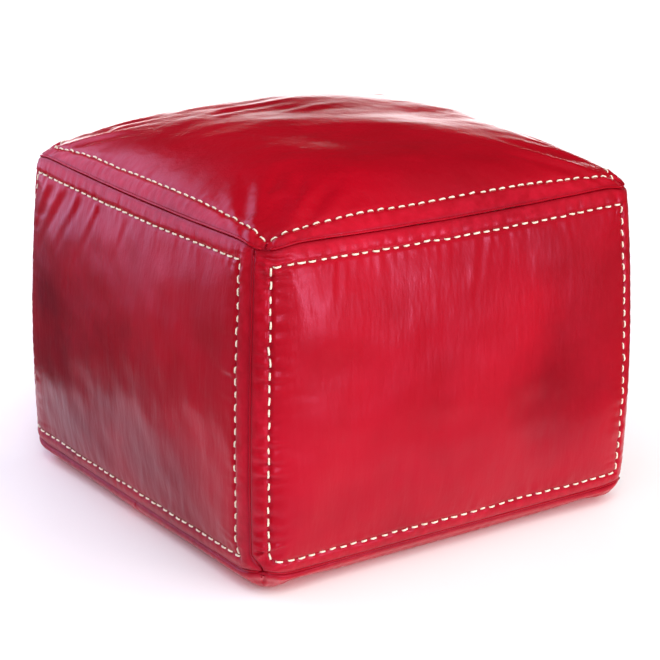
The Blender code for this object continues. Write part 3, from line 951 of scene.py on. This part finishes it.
def add_tape(side, material):
    """A woven tape with a thicker corded edge under the teeth, and a slight wave along it."""
    sign = 1.0 if side == "back" else -1.0
    across = np.concatenate(
        [np.linspace(TAPE_INNER, 0.0022, 7), np.linspace(0.0028, TAPE_OUTER, 12)]
    )
    cord = 0.00025 * np.sqrt(np.clip(1.0 - ((across - 0.00145) / 0.00080) ** 2, 0.0, 1.0))
    x = np.linspace(-TAPE_HALF_LENGTH, TAPE_HALF_LENGTH, TAPE_RINGS)[:, None]
    wave = 0.00012 * np.sin(x / 0.0061) * smoothstep((across - 0.004) / 0.006)
    ribs = 0.00003 * np.sin(x * 2.0 * math.pi / 0.0030)
    low = TAPE_LOW + 0.0001 - 0.4 * cord + wave + ribs
    high = TAPE_HIGH - 0.0001 + cord + wave + ribs
    across = np.broadcast_to(sign * across, low.shape)
    x = np.broadcast_to(x, low.shape)
    lower = np.stack([x, across, low], -1)
    upper = np.stack([x, across, high], -1)
    ring = np.concatenate([lower, upper[:, ::-1]], 1)
    name = f"zip_tape_woven_{side}"
    faces = tube_faces(*ring.shape[:2])
    if sign < 0.0:
        faces = [face[::-1] for face in faces]
    mesh = new_mesh(name, ring, faces)
    add_piece(name, mesh, material, "zip_tape_red", "pouf", f"zip_tape_{side}")
    mesh.set_sharp_from_angle(angle=math.radians(50.0))


def add_metal(node, body, material, width=METAL_EDGE):
    """The CAD shape of a cast metal part with its edges rounded off."""
    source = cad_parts[node]
    shape = bmesh.new()
    shape.from_mesh(source.data)
    shape.transform(source.matrix_world)
    bmesh.ops.remove_doubles(shape, verts=shape.verts[:], dist=1e-6)
    bmesh.ops.dissolve_limit(
        shape, angle_limit=math.radians(2.0), verts=shape.verts[:], edges=shape.edges[:]
    )
    obj = add_piece(f"{node}_cast", finished_mesh(node, shape), material, "zip_brass", body, node)
    rounding = obj.modifiers.new("rounding", "BEVEL")
    rounding.width = width
    rounding.segments = 3
    rounding.limit_method = "ANGLE"


def add_end_tab(name, sign, material):
    """The leather strip behind the closed part of the base seam, beyond the end of the zip."""
    part = np.linspace(0.0, 1.0, 40)
    arc_start = 0.0030
    arc_end = BASE_WIDTH / 2.0 - TAPE_HALF_LENGTH + 0.003
    x = BASE_HALF - base_place(arc_start + (arc_end - arc_start) * part)
    y = np.linspace(TAB_HALF, -TAB_HALF, 13)
    outer = base_point(sign * x[None, :], y[:, None])
    normals = grid_normals(outer) * (1.0 if sign < 0.0 else -1.0)
    bend = 0.0003 * np.cos(y / TAB_HALF * math.pi / 2.0)[:, None, None]
    points = outer - normals * (TAB_GAP + bend)
    over_tape = smoothstep((TAPE_HALF_LENGTH + 0.006 - np.abs(points[..., 0])) / 0.005)
    points[..., 2] = np.maximum(points[..., 2], (TAPE_HIGH + 0.0004) * over_tape)
    faces = grid_faces(*points.shape[:2])
    if sign > 0.0:
        faces = faces[:, ::-1]
    mesh = new_mesh(name, points, faces.tolist())
    obj = add_piece(f"{name}_leather", mesh, material, "leather_red", "pouf", name)
    thicken(obj, TAB_LEATHER)


def add_zip(leather):
    brass = brass_material()
    tape = tape_material()
    for side in ("front", "back"):
        add_teeth(side, brass)
        add_tape(side, tape)
        add_metal(f"zip_top_stop_{side}", "pouf", brass)
    add_metal("zip_bottom_stop", "pouf", brass)
    add_metal("zip_slider", "slider", brass)
    add_metal("zip_pull", "pull", brass, width=0.0003)
    add_end_tab("zip_end_tab_left", -1.0, leather)
    add_end_tab("zip_end_tab_right", 1.0, leather)


# ---- Filling ----

MIDDLE_Z = 0.190
BAG_SCALE = 0.965
BAG_LOW = 0.0135
BAG_CLOTH = 0.0007
BAG_MOUTH_X = 0.150
BAG_MOUTH_Y = 0.050
WADDING_SCALE = 0.940
WADDING_LOW = 0.0180
FILLING_CUTS = 44
FACE = 0.999


def filling_points(cube):
    """Places on the soft box of points of the cube from -1 to 1."""
    turned = np.sin(cube * math.pi / 2.0)
    a, b = turned[:, 0], turned[:, 1]
    x, y, z = cube.T
    places = side_point(7.0 - b, z)
    for face, s in ((y > FACE, 5.0 - a), (x > FACE, 3.0 + b), (y < -FACE, 1.0 + a)):
        places[face] = side_point(s[face], z[face])
    low = z < -FACE
    places[low] = base_point(a[low] * BASE_HALF, b[low] * BASE_HALF)
    high = z > FACE
    places[high] = top_point(a[high], b[high])
    return places


def filling_shape(scale, lowest, crumple):
    """The soft box drawn in towards its middle, flat above the zip, with its surface crumpled."""
    shape = bmesh.new()
    bmesh.ops.create_cube(shape, size=2.0)
    bmesh.ops.subdivide_edges(shape, edges=shape.edges[:], cuts=FILLING_CUTS, use_grid_fill=True)
    places = filling_points(np.array([vert.co for vert in shape.verts]))
    middle = np.array([0.0, 0.0, MIDDLE_Z])
    places = middle + (places - middle) * scale
    places -= unit(places - middle) * crumple(places)[:, None]
    places[:, 2] = np.maximum(places[:, 2], lowest)
    for vert, place in zip(shape.verts, places):
        vert.co = place
    bmesh.ops.recalc_face_normals(shape, faces=shape.faces[:])
    return shape


def bag_crumple(places):
    """Soft folds of a calico bag that is a little too big for its filling, up to 2 mm deep."""
    folds = np.abs(waves(places * np.array([1.0, 1.0, 0.45]), 0.055, 201))
    return 0.0022 * folds + 0.0006 * (1.0 + waves(places, 0.018, 202))


def wadding_crumple(places):
    """Clumped fibre, up to 3 mm deep."""
    return 0.0016 * (1.0 + waves(places, 0.030, 211)) + 0.0008 * (1.0 + waves(places, 0.010, 212))


def in_mouth(place):
    """Whether a place is in the open mouth that the bag has over the zip."""
    low = place.z < BAG_LOW + 0.001
    return low and abs(place.x) < BAG_MOUTH_X and abs(place.y) < BAG_MOUTH_Y


def add_filling():
    calico = cloth_material("calico_weave", (0.62, 0.55, 0.42), (0.82, 0.76, 0.64), 900.0)
    shape = filling_shape(BAG_SCALE, BAG_LOW, bag_crumple)
    mouth = [face for face in shape.faces if in_mouth(face.calc_center_median())]
    bmesh.ops.delete(shape, geom=mouth, context="FACES")
    mesh = finished_mesh("calico_bag", shape)
    bag = add_piece("calico_bag", mesh, calico, "calico", "pouf", "inner_bag")
    thicken(bag, BAG_CLOTH)
    fibre = cloth_material("wadding_fibre", (0.70, 0.69, 0.66), (0.90, 0.89, 0.87), 420.0)
    shape = filling_shape(WADDING_SCALE, WADDING_LOW, wadding_crumple)
    mesh = finished_mesh("fibre_wadding", shape)
    wadding = add_piece("fibre_wadding", mesh, fibre, "wadding_white", "pouf", "wadding")


# ---- Materials ----


class Nodes:
    """Short names for building a node material."""

    def __init__(self, name):
        self.material = bpy.data.materials.new(name)
        self.material.use_nodes = True
        self.tree = self.material.node_tree
        self.shader = self.tree.nodes["Principled BSDF"]
        self.place = self.tree.nodes.new("ShaderNodeTexCoord").outputs["Object"]

    def feed(self, socket, value):
        if isinstance(value, bpy.types.NodeSocket):
            self.tree.links.new(value, socket)
        else:
            socket.default_value = value

    def add(self, kind, inputs, **settings):
        node = self.tree.nodes.new(kind)
        for key, value in settings.items():
            setattr(node, key, value)
        for key, value in inputs.items():
            self.feed(node.inputs[key], value)
        return node

    def noise(self, scale, detail=4.0, roughness=0.55, vector=None):
        inputs = {"Scale": scale, "Detail": detail, "Roughness": roughness}
        inputs["Vector"] = vector or self.place
        return self.add("ShaderNodeTexNoise", inputs).outputs["Fac"]

    def ramp(self, value, low, high, to_low=0.0, to_high=1.0):
        inputs = {"Value": value, "From Min": low, "From Max": high}
        inputs.update({"To Min": to_low, "To Max": to_high})
        return self.add("ShaderNodeMapRange", inputs).outputs["Result"]

    def mix(self, factor, first, second):
        node = self.add("ShaderNodeMix", {0: factor, 6: first, 7: second}, data_type="RGBA")
        return node.outputs[2]

    def math(self, operation, first, second):
        return self.add("ShaderNodeMath", {0: first, 1: second}, operation=operation).outputs[0]

    def attribute(self, name):
        return self.add("ShaderNodeAttribute", {}, attribute_name=name).outputs["Fac"]

    def bump(self, height, distance, strength, normal=None):
        inputs = {"Height": height, "Distance": distance, "Strength": strength}
        if normal is not None:
            inputs["Normal"] = normal
        return self.add("ShaderNodeBump", inputs).outputs["Normal"]

    def out(self, **inputs):
        for key, value in inputs.items():
            self.feed(self.shader.inputs[key.replace("_", " ")], value)
        return self.material


def colour(red, green, blue):
    return (red, green, blue, 1.0)


# Darker patches of the leather, each a centre, reach and depth. Those on the left panel and the front
# are painted shade, the front's middle one partly dark dye too; those on the right and back panels are
# uneven dye.
DYE_AND_PAINTED_SHADE_PATCHES = (
    ((0.115, -0.215, 0.145), 0.080, 0.55),
    ((-0.226, 0.150, 0.185), 0.110, 0.90),
    ((-0.226, 0.110, 0.070), 0.110, 0.90),
    ((-0.226, -0.020, 0.090), 0.130, 0.60),
    ((-0.226, -0.080, 0.050), 0.100, 0.50),
    ((-0.226, 0.140, 0.060), 0.120, 0.60),
    ((0.020, -0.226, 0.300), 0.130, 0.30),
    ((0.180, -0.226, 0.230), 0.120, 0.30),
    ((-0.226, 0.010, 0.195), 0.110, 0.40),
    ((0.225, -0.060, 0.120), 0.090, 0.45),
    ((-0.060, 0.225, 0.200), 0.085, 0.45),
)


def leather_material(name, marked=True):
    """Hand-dyed goatskin: uneven crimson, fine pebble grain, worn lighter on the raised hems, with
    painted shade in placed patches, in the seam grooves and in the needle holes.
    """
    made = Nodes(name)
    patches = made.ramp(made.noise(5.5, 3.0, 0.5), 0.36, 0.66)
    dye = made.mix(patches, colour(0.27, 0.0002, 0.0042), colour(0.38, 0.0003, 0.0070))
    cloud = made.ramp(made.noise(17.0, 5.0, 0.6), 0.30, 0.75)
    dye = made.mix(made.math("MULTIPLY", cloud, 0.35), dye, colour(0.45, 0.0006, 0.0130))
    dark = made.ramp(made.noise(2.6, 2.0, 0.5), 0.56, 0.72)
    dye = made.mix(made.math("MULTIPLY", dark, 0.35), dye, colour(0.20, 0.0002, 0.0035))
    # Each patch darkens the dye towards a deep red: painted shade on the left panel and the front,
    # uneven dye on the right and back.
    for place, reach, depth in DYE_AND_PAINTED_SHADE_PATCHES:
        gap = made.add(
            "ShaderNodeVectorMath", {0: made.place, 1: place}, operation="DISTANCE"
        ).outputs["Value"]
        uneven = made.math("ADD", gap, made.ramp(made.noise(14.0, 4.0), 0.3, 0.7, -0.02, 0.02))
        dim = made.ramp(uneven, reach, 0.15 * reach, 0.0, depth)
        dye = made.mix(dim, dye, colour(0.12, 0.0002, 0.0030))
    pores = made.add(
        "ShaderNodeTexVoronoi",
        {"Vector": made.place, "Scale": 620.0, "Randomness": 0.9},
        feature="SMOOTH_F1",
    ).outputs["Distance"]
    fleck = made.ramp(pores, 0.25, 0.75, 0.0, 0.06)
    dye = made.mix(fleck, dye, colour(0.20, 0.0003, 0.0050))
    if marked:
        hem = made.attribute("hem")
        worn = made.math("MULTIPLY", hem, made.ramp(made.noise(120.0, 4.0), 0.40, 0.70, 0.0, 0.22))
        dye = made.mix(worn, dye, colour(0.68, 0.012, 0.040))
        # Painted shade: the leather darkens in the seam grooves
        groove_shade = made.math("MULTIPLY", made.attribute("groove_shade"), 0.65)
        dye = made.mix(groove_shade, dye, colour(0.16, 0.0006, 0.004))
        # Painted shade in and around the needle holes
        hole = made.math("MULTIPLY", made.attribute("hole"), 0.45)
        dye = made.mix(hole, dye, colour(0.14, 0.0006, 0.004))
    rough = made.ramp(made.noise(9.0, 2.0, 0.4), 0.25, 0.75, 0.285, 0.37)
    wrinkle = made.noise(95.0, 5.0, 0.6)
    grain = made.math("ADD", made.math("MULTIPLY", pores, 0.8), made.noise(1500.0, 2.0))
    streak_place = made.add(
        "ShaderNodeMapping",
        {"Vector": made.place, "Rotation": (0.35, -0.45, 0.6), "Scale": (1.0, 1.0, 0.22)},
    ).outputs["Vector"]
    streak = made.noise(75.0, 3.0, 0.5, vector=streak_place)
    normal = made.bump(grain, 0.00010, 0.40)
    normal = made.bump(wrinkle, 0.0006, 0.30, normal)
    normal = made.bump(streak, 0.0020, 0.45, normal)
    return made.out(
        Base_Color=dye,
        Roughness=rough,
        Normal=normal,
        IOR=1.45,
        Specular_Tint=colour(1.0, 0.38, 0.66),
    )


def thread_material():
    made = Nodes("waxed_cotton_thread")
    shade = made.ramp(made.noise(160.0, 3.0), 0.30, 0.70)
    base = made.mix(shade, colour(0.70, 0.60, 0.46), colour(0.84, 0.76, 0.62))
    fibre = made.noise(2600.0, 3.0, 0.7)
    normal = made.bump(fibre, 0.0002, 0.5)
    return made.out(Base_Color=base, Roughness=0.72, Normal=normal, Sheen_Weight=0.25)


def brass_material():
    made = Nodes("zip_brass_worn")
    stain = made.ramp(made.noise(220.0, 4.0), 0.35, 0.70)
    base = made.mix(stain, colour(0.80, 0.58, 0.25), colour(0.52, 0.36, 0.14))
    rough = made.ramp(made.noise(700.0, 3.0), 0.30, 0.70, 0.20, 0.42)
    return made.out(Base_Color=base, Metallic=1.0, Roughness=rough)


def tape_material():
    made = Nodes("zip_tape_weave")
    wave = made.add(
        "ShaderNodeTexWave",
        {"Vector": made.place, "Scale": 520.0, "Distortion": 0.6, "Detail": 1.0},
        bands_direction="DIAGONAL",
    ).outputs["Fac"]
    base = made.mix(wave, colour(0.16, 0.003, 0.008), colour(0.34, 0.010, 0.020))
    return made.out(Base_Color=base, Roughness=0.88, Normal=made.bump(wave, 0.0003, 0.6))


def cloth_material(name, low, high, scale):
    made = Nodes(name)
    threads = made.noise(scale, 4.0, 0.7)
    base = made.mix(made.ramp(threads, 0.3, 0.7), colour(*low), colour(*high))
    return made.out(Base_Color=base, Roughness=0.92, Normal=made.bump(threads, 0.0006, 0.5))


# ---- Stage, lights and camera ----

CAMERA_UNIT = 0.42
CAMERA_PLACE = (-2.855 * CAMERA_UNIT, -4.115 * CAMERA_UNIT, 1.964 * CAMERA_UNIT + BASE_SEAM_Z)
CAMERA_DOWN = math.radians(18.1)
CAMERA_ROLL = math.radians(0.66)
CAMERA_TURN = math.radians(-34.9)
CAMERA_LENS = 118.75

FLOOR_REACH = 16.0
FLOOR_Z = -0.0004
SHEET_REACH = 0.49
FELT_FROM = 68.0
FELT_TO = 368.0
FELT_STEPS = 60
FELT_Z = 0.002


def add_camera():
    data = bpy.data.cameras.new("camera")
    data.lens = CAMERA_LENS
    data.sensor_width = 36.0
    data.clip_end = 60.0
    obj = add_object("camera", data)
    turn = Matrix.Rotation(CAMERA_TURN, 4, "Z")
    tilt = Matrix.Rotation(math.pi / 2.0 - CAMERA_DOWN, 4, "X")
    roll = Matrix.Rotation(CAMERA_ROLL, 4, "Z")
    obj.matrix_world = Matrix.Translation(CAMERA_PLACE) @ turn @ tilt @ roll
    bpy.context.scene.camera = obj


def add_light(name, place, aim, size, radiance, tint):
    """A softbox that the camera doesn't see. radiance is 1 where its face would just be white."""
    data = bpy.data.lights.new(name, "AREA")
    data.shape = "RECTANGLE"
    data.size, data.size_y = size
    data.energy = radiance * math.pi * size[0] * size[1]
    data.color = tint
    obj = add_object(name, data)
    obj.location = place
    obj.rotation_euler = (Vector(place) - Vector(aim)).to_track_quat("Z", "Y").to_euler()
    obj.visible_camera = False


def add_sun(towards, strength):
    """An even light as wide as a lit ceiling, left out of reflections."""
    data = bpy.data.lights.new("ceiling", "SUN")
    data.energy = strength
    data.angle = math.radians(110.0)
    obj = add_object("ceiling", data)
    obj.rotation_euler = Vector(towards).to_track_quat("Z", "Y").to_euler()
    obj.visible_glossy = False


def studio_world():
    """A pale horizon under a dim ceiling."""
    world = bpy.data.worlds.new("studio")
    world.use_nodes = True
    tree = world.node_tree
    place = tree.nodes.new("ShaderNodeTexCoord")
    split = tree.nodes.new("ShaderNodeSeparateXYZ")
    fade = tree.nodes.new("ShaderNodeMapRange")
    for key, value in (("From Min", 0.02), ("From Max", 0.20), ("To Min", 0.08), ("To Max", 0.03)):
        fade.inputs[key].default_value = value
    tree.links.new(place.outputs["Generated"], split.inputs[0])
    tree.links.new(split.outputs["Z"], fade.inputs["Value"])
    background = tree.nodes["Background"]
    background.inputs["Color"].default_value = (0.94, 0.96, 1.0, 1.0)
    tree.links.new(fade.outputs["Result"], background.inputs["Strength"])
    return world


def grey_material(name, scale, low, high, roughness):
    """A slightly uneven grey between two albedos."""
    made = Nodes(name)
    shade = made.ramp(made.noise(scale, 2.0), 0.3, 0.7, low, high)
    grey = made.add("ShaderNodeCombineColor", {0: shade, 1: shade, 2: shade}).outputs[0]
    made.out(Base_Color=grey, Roughness=roughness)
    return made


def add_sheet(name, points, faces, material):
    """A flat part of the stage that casts no shadow."""
    mesh = new_mesh(name, points, faces)
    mesh.materials.append(material)
    sheet = add_object(name, mesh)
    sheet.visible_shadow = False
    return sheet


def add_floor():
    """A pale floor seen from above only, so that a camera under the pouf sees its underside."""
    made = grey_material("studio_floor", 3.0, 0.92, 0.94, 0.65)
    clear = made.add("ShaderNodeBsdfTransparent", {}).outputs[0]
    below = made.add("ShaderNodeNewGeometry", {}).outputs["Backfacing"]
    choice = made.add("ShaderNodeMixShader", {0: below, 1: made.shader.outputs[0], 2: clear})
    made.feed(made.tree.nodes["Material Output"].inputs[0], choice.outputs[0])
    corners = [(-1, -1), (1, -1), (1, 1), (-1, 1)]
    points = [(x * FLOOR_REACH, y * FLOOR_REACH, FLOOR_Z) for x, y in corners]
    add_sheet("studio_floor", points, [(0, 1, 2, 3)], made.material)


def add_dark_surround():
    """Black felt round the pale sheet under the pouf, which only reflections see.

    It is open towards the rear, where the pale floor runs on and the dome's far slope mirrors it.
    """
    made = grey_material("studio_felt", 30.0, 0.015, 0.03, 0.95)
    turns = np.radians(np.linspace(FELT_FROM, FELT_TO, FELT_STEPS + 1))
    points = []
    for reach in (SHEET_REACH, FLOOR_REACH):
        points += [(reach * math.sin(turn), reach * math.cos(turn), FELT_Z) for turn in turns]
    ring = FELT_STEPS + 1
    faces = [(i, i + 1, ring + i + 1, ring + i) for i in range(FELT_STEPS)]
    felt = add_sheet("studio_felt", points, faces, made.material)
    felt.visible_camera = False
    felt.visible_diffuse = False


def add_stage():
    add_floor()
    add_dark_surround()
    scene = bpy.context.scene
    scene.world = studio_world()
    add_sun((0.35, -0.95, 1.00), 3.6)
    add_sun((-1.0, -0.20, 1.60), 1.0)
    centre = (0.0, 0.0, 0.2)
    mauve = (0.74, 0.64, 1.0)
    add_light("left_softbox", (-0.75, 1.30, 0.82), (-0.2, 0.0, 0.30), (1.5, 1.6), 2.5, mauve)
    add_light("rear_softbox", (1.9, 2.75, 0.32), centre, (2.2, 0.6), 7.0, (1.0, 0.98, 0.98))
    add_light("front_softbox", (0.70, -2.30, 0.28), centre, (0.30, 0.40), 33.0, (1.0, 0.92, 0.96))
    add_light("camera_softbox", (-1.15, -2.10, 0.90), centre, (0.5, 0.4), 16.0, (1.0, 0.93, 0.97))
    add_light("under_softbox", (0.0, 0.0, -1.4), centre, (0.9, 0.9), 5.0, (1.0, 1.0, 1.0))
    scene.view_settings.view_transform = "Standard"


def main():
    leather = leather_material("red_goatskin")
    thread = thread_material()
    panels = [side_panel(side) for side in range(4)]
    panels += [top_panel(), base_panel("base_back"), base_panel("base_front")]
    for panel, settled in zip(panels, settle_cover(panels)):
        points, marks = form_panel(panel, settled)
        add_panel(panel, points, marks, leather)
        add_stitching(panel, points, thread)
    plain = leather_material("red_goatskin_plain", marked=False)
    add_welts(plain)
    add_zip(plain)
    add_filling()
    add_stage()
    add_camera()


main()
